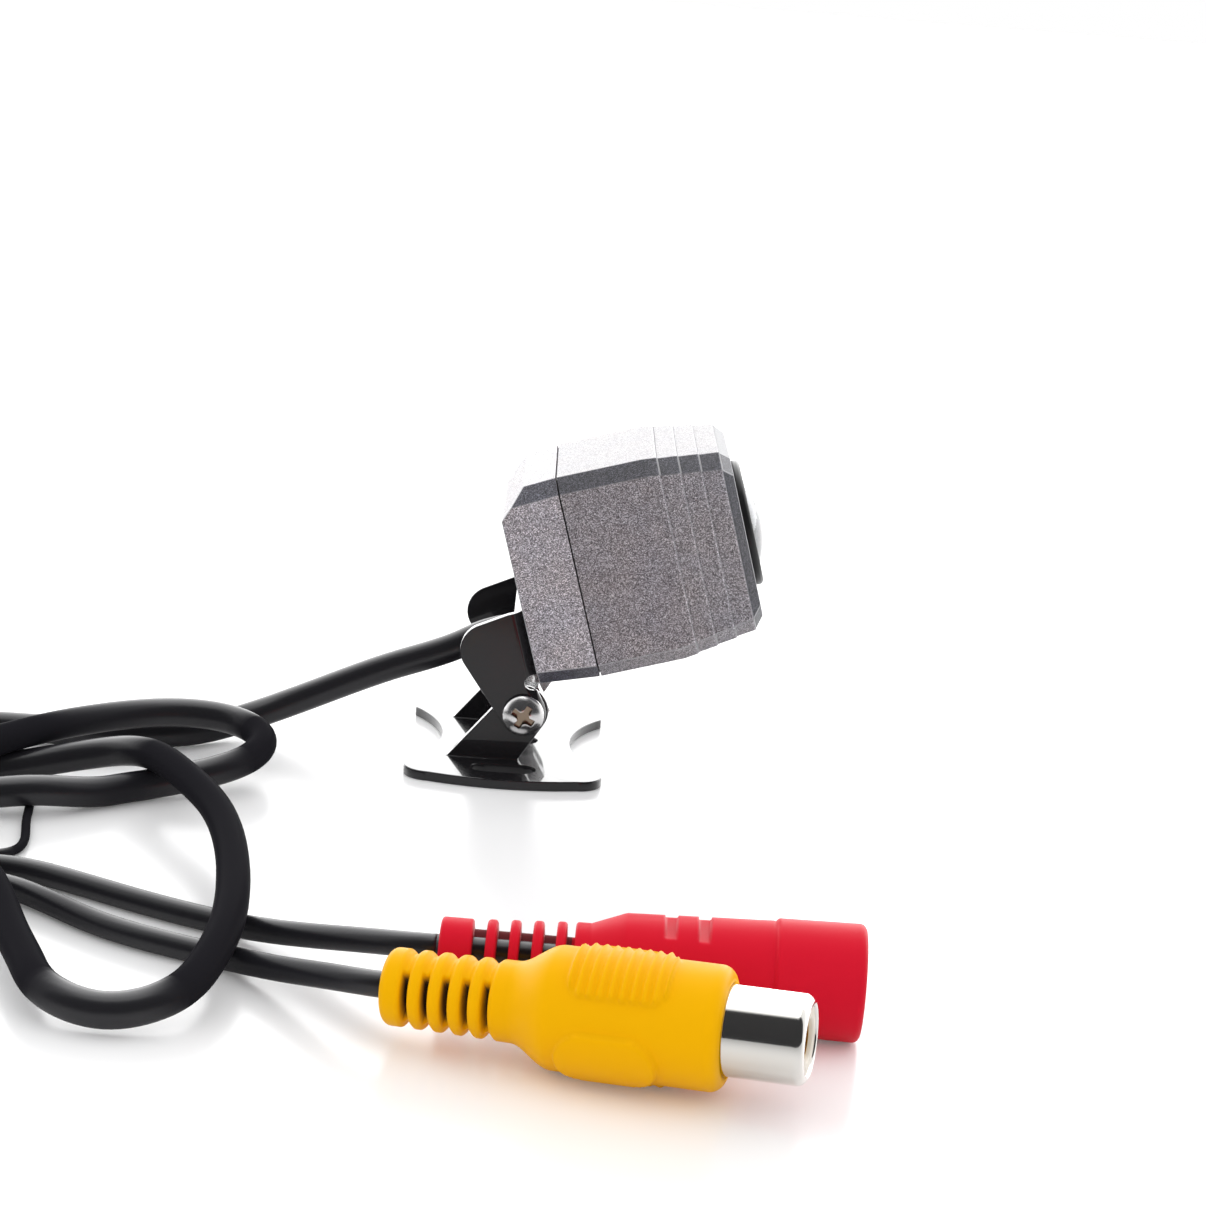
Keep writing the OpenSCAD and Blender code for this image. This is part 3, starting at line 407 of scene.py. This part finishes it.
def jacket():
    """Satin black vinyl, duller where a cord runs away along Y."""
    most, least = 0.4505, 0.0005
    tree, b = finish_of("cable_jacket", (0.015, 0.0145, 0.0175), 0.3, 0.0, Specular_IOR_Level=0.2)
    away = node_of(tree, "ShaderNodeAttribute", attribute_name="away")
    gloss = math_node(tree, "SUBTRACT", most, math_node(tree, "MULTIPLY", away.outputs["Fac"], most - least))
    tree.links.new(gloss, b.inputs["Specular IOR Level"])
    grain(tree, b, 2600, 0.10, 0.00008)


def chrome():
    """Bright screw, dark brown in its cross recess as painted shade with tarnish."""
    bright = (0.84, 0.83, 0.83)
    tree, b = finish_of("chrome_screw", bright, 0.22, 1.0)
    deep = node_of(tree, "ShaderNodeAttribute", attribute_name="deep")
    # Painted shade with tarnish: dark brown in the cross recess
    tint = mixed(tree, "MIX", deep.outputs["Fac"], (*bright, 1), (0.30, 0.24, 0.18, 1))
    tree.links.new(tint, b.inputs["Base Color"])


def vinyl(slot, color, roughness):
    """Soft moulded vinyl with a sheen of its own colour, and painted shade, nearly black, deep in its slots.
    """
    tree, b = finish_of(slot, color, roughness, 0.0, Specular_IOR_Level=0.16)
    b.inputs["Specular Tint"].default_value = (*(0.25 + 0.75 * c for c in color), 1)
    grain(tree, b, 1500, 0.06, 0.0001)
    deep = node_of(tree, "ShaderNodeAttribute", attribute_name="deep")
    # Painted shade: nearly black deep in the slots
    tint = mixed(tree, "MIX", deep.outputs["Fac"], (*color, 1), tuple(0.03 + 0.04 * c for c in color) + (1,))
    tree.links.new(tint, b.inputs["Base Color"])


paint()
lacquer()
jacket()
vinyl("yellow_moulding", (0.93, 0.465, 0.0), 0.42)
vinyl("red_moulding", (0.66, 0.009, 0.028), 0.45)
finish_of("screw_steel", (0.62, 0.62, 0.63), 0.25, 1.0)
chrome()
finish_of("black_rubber", (0.018, 0.018, 0.019), 0.6)
finish_of("bezel_black", (0.014, 0.014, 0.015), 0.3, 0.0, Specular_IOR_Level=0.35)
finish_of("lens_glass", (0.09, 0.092, 0.098), 0.0, 0.0, Transmission_Weight=1.0, IOR=1.5,
          Specular_IOR_Level=0.4)
finish_of("barrel_black", (0.014, 0.014, 0.015), 0.42)
finish_of("filter_glass", (0.70, 0.25, 0.28), 0.05, 0.0, Transmission_Weight=0.6, IOR=1.5)
finish_of("chip_black", (0.03, 0.03, 0.033), 0.4)
finish_of("board_green", (0.02, 0.16, 0.06), 0.35, 0.0, Coat_Weight=0.5, Coat_Roughness=0.15)
finish_of("brass_part", (0.80, 0.52, 0.14), 0.25, 1.0)
finish_of("socket_cream", (0.78, 0.74, 0.62), 0.45)
finish_of("nickel_shell", (0.80, 0.785, 0.75), 0.10, 1.0)
finish_of("cream_insulator", (0.74, 0.68, 0.58), 0.4)

for entry in frame["record"]["subparts"]:
    node = nodes[entry["node"]]
    node.data.materials.clear()
    node.data.materials.append(material[entry["material_slot"]])


# ---------- frames ----------

def placement(at, yaw=0, pitch=0):
    """Frame at a point in mm, turned by yaw about Z after its nose is lifted by pitch, both in degrees."""
    return (Matrix.Translation(Vector(at) * MM) @ Matrix.Rotation(math.radians(yaw), 4, "Z")
            @ Matrix.Rotation(math.radians(-pitch), 4, "Y"))


def local(place, *point):
    """A point given in mm in a frame, as mm in the row's frame."""
    return np.array(place @ (Vector(point) * MM)) / MM


def heading(place):
    """Way that the frame's X axis points."""
    return np.array(place.to_3x3() @ Vector((1, 0, 0)))


BODY = placement(PIVOT, 0, HEAD_PITCH) @ Matrix.Translation(Vector(BODY_AT) * MM)
RCA = placement(RCA_AT, -RCA_YAW, RCA_TILT)
DC = placement(DC_AT, -DC_YAW)
SPLICE = placement(SPLICE_AT, SPLICE_YAW)


# ---------- castings, brackets and screws ----------

def on_outside(point):
    """True for a point of the castings' outer skin away from the seam, given in mm."""
    x, y, z = BODY.inverted() @ (Vector(point) * MM) / MM
    on_side = max(abs(y), abs(z)) > HALF - TAPER_IN - FRONT_BEVEL - 0.15
    return abs(x - SEAM_X) > 0.3 and (on_side or x > FRONT_X - 0.1 or x < 0.1)


def in_body(way):
    """A heading in the row's frame, as a heading in the camera body's frame."""
    return BODY.to_3x3().inverted() @ way


def is_chamfer(way):
    """True for a face of any long chamfer, from its heading."""
    _, y, z = in_body(way)
    return abs(y) > 0.5 and abs(z) > 0.5


# These faces get painted shade, darker and bluish.
def is_slant(way):
    """True for a face of the upper long chamfers or the front bevel, from its heading."""
    x, y, z = in_body(way)
    return (is_chamfer(way) and z > 0) or (0.5 < x < 0.95 and max(abs(y), abs(z)) > 0.3)


def edge_glint_and_wear(way):
    """How bright an edge's painted highlight and wear are: the long upper edges hardly, the edges that run
    across the body fully.
    """
    x, _, z = in_body(way)
    return 1.0 if abs(x) > 0.15 else 0.25 if z > 0 else 0.7


def in_recess(point):
    """True inside the cross recess of a pivot screw's head."""
    return 10.3 < abs(point.y) < 11.72 and math.hypot(point.x - PIVOT[0], point.z - PIVOT[2]) < 1.5


# Slanted faces of the castings get painted shade, and their rounded edges a painted highlight with some wear.
softened("front_housing", 0.1, on_outside, slant=is_slant, glint_and_wear=edge_glint_and_wear)
# The rear cover is painted 1.5 times lighter as a painted reflection.
softened("rear_cover", 0.1, on_outside, tone=1.5, slant=is_chamfer, glint_and_wear=edge_glint_and_wear)
softened("base_bracket", 0.16)
softened("camera_bracket", 0.16)
softened("lens_bezel", 0.1)
# Painted shade with tarnish in the cross recess
softened("pivot_screws", 0.07, limit=35, deep=in_recess)
softened("bracket_screws", 0.05, limit=35)
softened("cover_screws", 0.05, limit=35)
splice_body = softened("y_splice", 0.5)


# ---------- moulded connectors ----------

ARC = np.arange(SIDES) * 360 / SIDES  # the turn of each point in degrees
RCA_RADIUS, BOOT_L = 5.7, 12.8


def pad(x, radius, centre, length, width, corner, rise):
    """Rise of a rounded grip pad whose middle lies at x = length / 2 and at a turn in degrees."""
    along = abs(x - length / 2) - length / 2 + corner
    across = abs((ARC - centre + 180) % 360 - 180) * math.pi / 180 * radius - width / 2 + corner
    off = np.hypot(np.maximum(along, 0), np.maximum(across, 0)) - corner
    return rise * (1 - smooth(-0.28, 0.05, off))


def yellow_radius(x):
    """Radius all round at x: a boot with five slots that widens into a body with four grip pads."""
    neck = 3.6 + 0.012 * x
    radius = np.full(SIDES, neck + (RCA_RADIUS - neck) * smooth(12.2, 16.4, x))
    side = np.minimum(ARC, 360 - ARC)
    window = smooth(40, 54, side) * (1 - smooth(132, 146, side))
    for i in range(5):
        off = abs(x - 2.45 - 1.93 * i)
        radius -= (0.46 + 0.3 * smooth(120, 150, side)) * (1 - smooth(0.0, 0.78, off))
        radius -= 1.95 * window * (1 - smooth(0.25, 0.38, off))
    ridges = 0.7 + 0.3 * math.cos(2 * math.pi * (x - 18.3))
    for centre, rise in ((20, 0.6), (200, 0.3)):
        radius += pad(x - 18, RCA_RADIUS, centre, 9.4, 7.4, 1.6, rise) * ridges
    for centre in (118, 298):
        radius += pad(x - 17.2, RCA_RADIUS, centre, 9.6, 6.0, 2.9, 0.6)
    return radius


def rounded_end(x, end, r):
    """How much a radius shrinks near an end that is rounded by r."""
    t = np.clip(1 - abs(end - x) / r, 0, 1)
    return r * (1 - math.sqrt(max(0.0, 1 - t * t)))


yellow = [(0.0, 1.15), (0.0, 2.6)]
for x in np.concatenate([np.arange(0, BOOT_L, 0.08), np.arange(BOOT_L, RCA_FRONT, 0.16), [RCA_FRONT]]):
    yellow.append((x, yellow_radius(x) - rounded_end(x, 0.0, 0.8) - rounded_end(x, RCA_FRONT, 1.3)))
yellow += [(RCA_FRONT, 4.4), (RCA_FRONT - 0.1, RCA_SHELL_R + 0.02), (RCA_FRONT - 0.4, RCA_SHELL_R + 0.02)]
# deep: painted shade deep in the boot's slots
boot = moulded("video_moulding", RCA, yellow, deep=lambda x, r: (0.3 < x < 12.5) * smooth(3.0, 2.1, r))
stand_in(boot, "rca_housing")


def red_radius(x):
    """Radius all round at x: a cuff, four ribs on two spines, a ring, a cone, a notched body and a collar."""
    cuff, rib_x, rib_pitch, rib_l, ring_x, cone_x = 3.1, 4.4, 2.2, 1.0, BOOT_L, 14.4
    rib = int((x - rib_x) // rib_pitch)
    rib_start = rib_x + rib_pitch * rib
    if x <= cuff:
        radius = 2.95 - rounded_end(x, 0.0, 0.35) - rounded_end(x, cuff, 0.3)
    elif 0 <= rib < 4 and x - rib_start <= rib_l:
        radius = 3.05 + 0.12 * rib - rounded_end(x, rib_start, 0.35) - rounded_end(x, rib_start + rib_l, 0.35)
    elif x < ring_x:
        spine = np.maximum(1 - smooth(20, 32, abs(ARC - 180)), 1 - smooth(18, 30, abs(ARC - 292)))
        radius = 1.15 + 1.15 * spine
    elif x < cone_x:
        radius = 3.5 - rounded_end(x, ring_x, 0.3)
    elif x < DC_BODY_X:
        radius = 3.55 + 1.15 * (x - cone_x) / (DC_BODY_X - cone_x)
    elif x < DC_COLLAR_X:
        radius = 4.75 + 0.5 * (x - DC_BODY_X) / (DC_COLLAR_X - DC_BODY_X)
        radius -= rounded_end(x, DC_BODY_X, 0.2) + rounded_end(x, DC_COLLAR_X, 0.25)
    else:
        radius = 5.5 + 0.12 * (x - DC_COLLAR_X) / 7
        radius -= rounded_end(x, DC_COLLAR_X, 0.35) + rounded_end(x, DC_END_X, 0.7)
    radius = np.broadcast_to(radius, SIDES)
    if any(DC_BODY_X + n < x < DC_BODY_X + n + 1.1 for n in (3.9, 7.0)):
        up = np.cos(np.radians(ARC))
        radius = np.where(up > 0.5, np.minimum(radius, 3.9 / np.maximum(up, 0.5)), radius)
    return radius


red = [(0.0, 1.15), (0.0, 2.3)]
for x in np.concatenate([np.arange(0, 13, 0.07), np.arange(13, DC_END_X, 0.16), [DC_END_X]]):
    red.append((x, red_radius(x)))
red += [(DC_END_X, 4.2), (DC_END_X, 3.5), (DC_END_X - 0.3, 3.17), (DC_END_X - 2, 3.17)]
# deep: painted shade deep in the slots of the strain relief
plug = moulded("power_moulding", DC, red, deep=lambda x, r: (0.3 < x < 12.5) * 0.85 * smooth(2.9, 2.2, r))
stand_in(plug, "dc_housing")

shell_end = RCA_FRONT + RCA_SHELL_L
lip = [(shell_end - 0.9 + 0.9 * math.sin(a), RCA_SHELL_R - 0.9 + 0.9 * math.cos(a))
       for a in np.linspace(0, math.pi / 2 * 0.8, 9)]
shell = moulded("nickel_barrel", RCA, [(RCA_FRONT - 0.5, RCA_SHELL_R), (shell_end - 0.95, RCA_SHELL_R), *lip,
                                       (shell_end, 3.35), (shell_end - 0.2, 3.2), (shell_end - 1.5, 3.15)])
stand_in(shell, "rca_shell")
insulator = moulded("phono_insulator", RCA, [
    (shell_end - 1.4, 3.16), (shell_end - 0.35, 3.15), (shell_end - 0.2, 3.0), (shell_end - 0.2, 2.2),
    (shell_end - 0.35, 1.92), (shell_end - 1.6, 1.9)])
stand_in(insulator, "rca_insulator")


# ---------- cords ----------

gland_face = local(BODY, -GLAND_OUT, 0, CABLE_Z)
gland_next = local(BODY, -GLAND_OUT - 4, 0, CABLE_Z)
power_out = local(SPLICE, SPLICE_L, LEAD_OUT, -LEAD_DOWN)
video_out = local(SPLICE, SPLICE_L, -LEAD_OUT, -LEAD_DOWN)
wire_out = local(SPLICE, SPLICE_L, WIRE_OUT, WIRE_UP)


def cord_piece(name, node, points, first, last, diameter):
    """A cord through points in mm that stands in for a CAD node and lies no lower than the floor.
    The main cable rides on neither body, and the others ride on one."""
    path = spline(points, first, last)
    path[:, 2] = np.maximum(path[:, 2], (diameter / 2 + 0.01) * MM)
    piece = tube(name, path, diameter * MM)
    if node == "main_cable":
        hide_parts(node)
        piece.data.materials.append(material["cable_jacket"])
        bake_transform(piece)
    else:
        stand_in(piece, node)
    return piece, path


def lead_core(name, place, length):
    """The lead inside a moulding's strain relief, seen through the slots."""
    path = np.array([local(place, x, 0, 0) for x in np.arange(-0.3, length, 0.7)]) * MM
    core = tube(name, path, LEAD_D * MM)
    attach(core, "base")
    core.data.materials.append(material["cable_jacket"])
    return core


main, main_path = cord_piece("cable", "main_cable", [gland_face, gland_next, *MAIN_ROUTE, SPLICE_AT],
                             -heading(BODY), heading(SPLICE), CABLE_D)
power, power_path = cord_piece("power_cord", "power_lead", [power_out, *POWER_ROUTE, DC_AT],
                               heading(SPLICE), heading(DC), LEAD_D)
video, video_path = cord_piece("video_cord", "video_lead", [video_out, *VIDEO_ROUTE, RCA_AT],
                               heading(SPLICE), heading(RCA), LEAD_D)
wire, wire_path = cord_piece("wire", "trigger_wire", [wire_out, *WIRE_ROUTE],
                             heading(SPLICE), WIRE_WAY, WIRE_D)
lead_core("power_core", DC, CORE_L)
lead_core("video_core", RCA, CORE_L)


# ---------- floor and light ----------

floor = new_object("floor", [(-3, -3, 0), (3, -3, 0), (3, 3, 0), (-3, 3, 0)], [(0, 1, 2, 3)], False)
floor.location.z = -0.02 * MM
tree, surface = finish_of("floor", (0.95, 0.95, 0.95), 0.24, 0.0, Specular_IOR_Level=0.5)
surface.inputs["Emission Color"].default_value = (1, 1, 1, 1)
lift = math_node(tree, "MULTIPLY", node_of(tree, "ShaderNodeLightPath").outputs["Is Camera Ray"], 0.1)
tree.links.new(lift, surface.inputs["Emission Strength"])
floor.data.materials.append(material["floor"])


def studio():
    """White to the eye; reflections see a bright panel behind the row and a dark room before it."""
    world = bpy.data.worlds.new("studio")
    scene.world = world
    world.use_nodes = True
    tree = world.node_tree
    sky = tree.nodes["Background"]
    way = node_of(tree, "ShaderNodeTexCoord")
    axes = node_of(tree, "ShaderNodeSeparateXYZ")
    tree.links.new(way.outputs["Generated"], axes.inputs[0])
    rays = node_of(tree, "ShaderNodeLightPath")
    depth = node_of(tree, "ShaderNodeMapRange", **{"From Min": -1.0})
    tree.links.new(axes.outputs["Y"], depth.inputs["Value"])
    mirror = ramp(tree, depth.outputs["Result"], [
        (0.0, (0.035, 0.035, 0.037)), (0.36, (0.04, 0.04, 0.042)), (0.395, (1.0, 1.0, 1.0)),
        (0.58, (1.2, 1.2, 1.2)), (0.68, (3.7, 3.7, 3.7)), (1.0, (3.7, 3.7, 3.7))])
    wash = ramp(tree, depth.outputs["Result"], [(0.0, (0.98, 0.98, 0.99)), (1.0, (1.2, 1.2, 1.2))])
    overhead = ramp(tree, axes.outputs["Z"], [(0.93, (0.0, 0.0, 0.0)), (0.99, (1.5, 1.5, 1.5))])
    mirror = mixed(tree, "ADD", 1.0, mirror, overhead)
    sheen = mixed(tree, "MIX", rays.outputs["Is Glossy Ray"], wash, mirror)
    seen = mixed(tree, "MIX", rays.outputs["Is Camera Ray"], sheen, (1, 1, 1, 1))
    tree.links.new(seen, sky.inputs["Color"])
    sky.inputs["Strength"].default_value = 1.0


studio()
